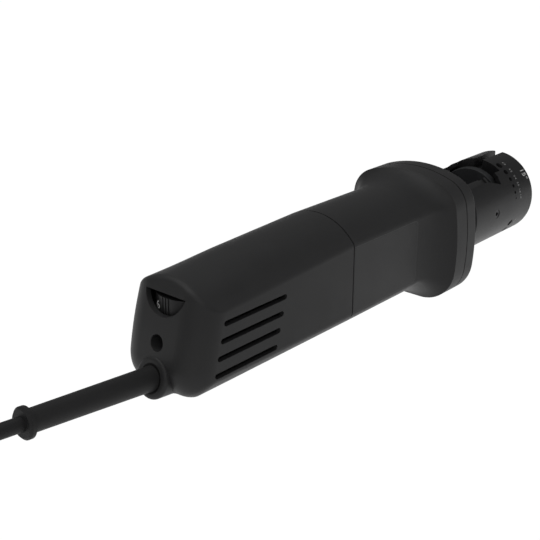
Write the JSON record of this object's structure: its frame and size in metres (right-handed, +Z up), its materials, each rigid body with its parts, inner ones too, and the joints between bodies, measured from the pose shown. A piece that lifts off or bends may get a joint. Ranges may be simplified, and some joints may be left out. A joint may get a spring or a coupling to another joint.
{
  "type": "tungsten electrode grinder",
  "caption": "Hand-held mains grinder with a slim motor barrel, flared square flange and a tube head whose angled bores guide electrodes onto an enclosed diamond wheel.",
  "frame": {"origin": "under the middle of the tool, cord left out, on the plane of the flange's flat underside", "axes": "+X along the axis towards the grinding head, +Y to the tool's left, +Z up"},
  "size_m": [0.5865, 0.0817, 0.068],
  "materials": {
    "body_plastic": "fine matte texture",
    "head_metal": "satin black anodised",
    "plate_metal": "matte black coated",
    "steel": "turned",
    "dark_steel": "blackened",
    "laminations": "stacked sheet",
    "copper": "enamelled wire",
    "brass": "stamped",
    "inner_plastic": "moulded",
    "carbon": "pressed carbon",
    "diamond": "diamond grit in a nickel bond",
    "rubber": "soft matte",
    "cord_rubber": "soft matte",
    "dial_plastic": "ribbed, white numbers"
  },
  "bodies": {
    "housing": {"motor_housing": "body_plastic", "rear_cover": "body_plastic", "front_plate": "plate_metal", "head_barrel": "head_metal", "head_set_screws": "dark_steel", "front_plate_screws": "dark_steel", "rear_cover_screw": "steel", "front_bearing": "steel", "nose_bearing": "steel", "rear_bearing": "steel", "bearing_nut": "steel", "rear_bearing_boot": "rubber", "field_stator": "laminations", "field_coils": "copper", "fan_baffle": "inner_plastic", "brush_holders": "brass", "carbon_brushes": "carbon", "brush_springs": "steel", "speed_control_module": "inner_plastic", "suppression_capacitor": "inner_plastic", "switch_body": "inner_plastic", "strain_relief": "rubber", "cord_tail": "cord_rubber", "cord_clamp": "inner_plastic", "cord_clamp_screws": "steel", "mains_cord": "cord_rubber", "cord_hank": "cord_rubber", "cord_tie": "rubber", "plug_body": "rubber", "plug_pins": "brass"},
    "rotor": {"armature_shaft": "steel", "armature_core": "laminations", "armature_windings": "copper", "commutator": "copper", "cooling_fan": "inner_plastic", "wheel_flange": "steel", "diamond_wheel": "diamond", "wheel_washer": "steel", "wheel_screw": "dark_steel"},
    "dial": {"speed_dial": "dial_plastic"},
    "switch": {"switch_slider": "body_plastic", "switch_rod": "inner_plastic"}
  },
  "joints": [
    {"name": "rotor_spin", "type": "hinge", "parent": "housing", "child": "rotor", "pos_m": [0, 0, 0.034], "axis": [1, 0, 0], "continuous": true},
    {"name": "dial_turn", "type": "hinge", "parent": "housing", "child": "dial", "pos_m": [-0.11416, 0, 0.034], "axis": [0, 0, 1], "range_deg": [0, 250]},
    {"name": "switch_slide", "type": "slide", "parent": "housing", "child": "switch", "axis": [1, 0, 0], "range_m": [0, 0.008]}
  ]
}
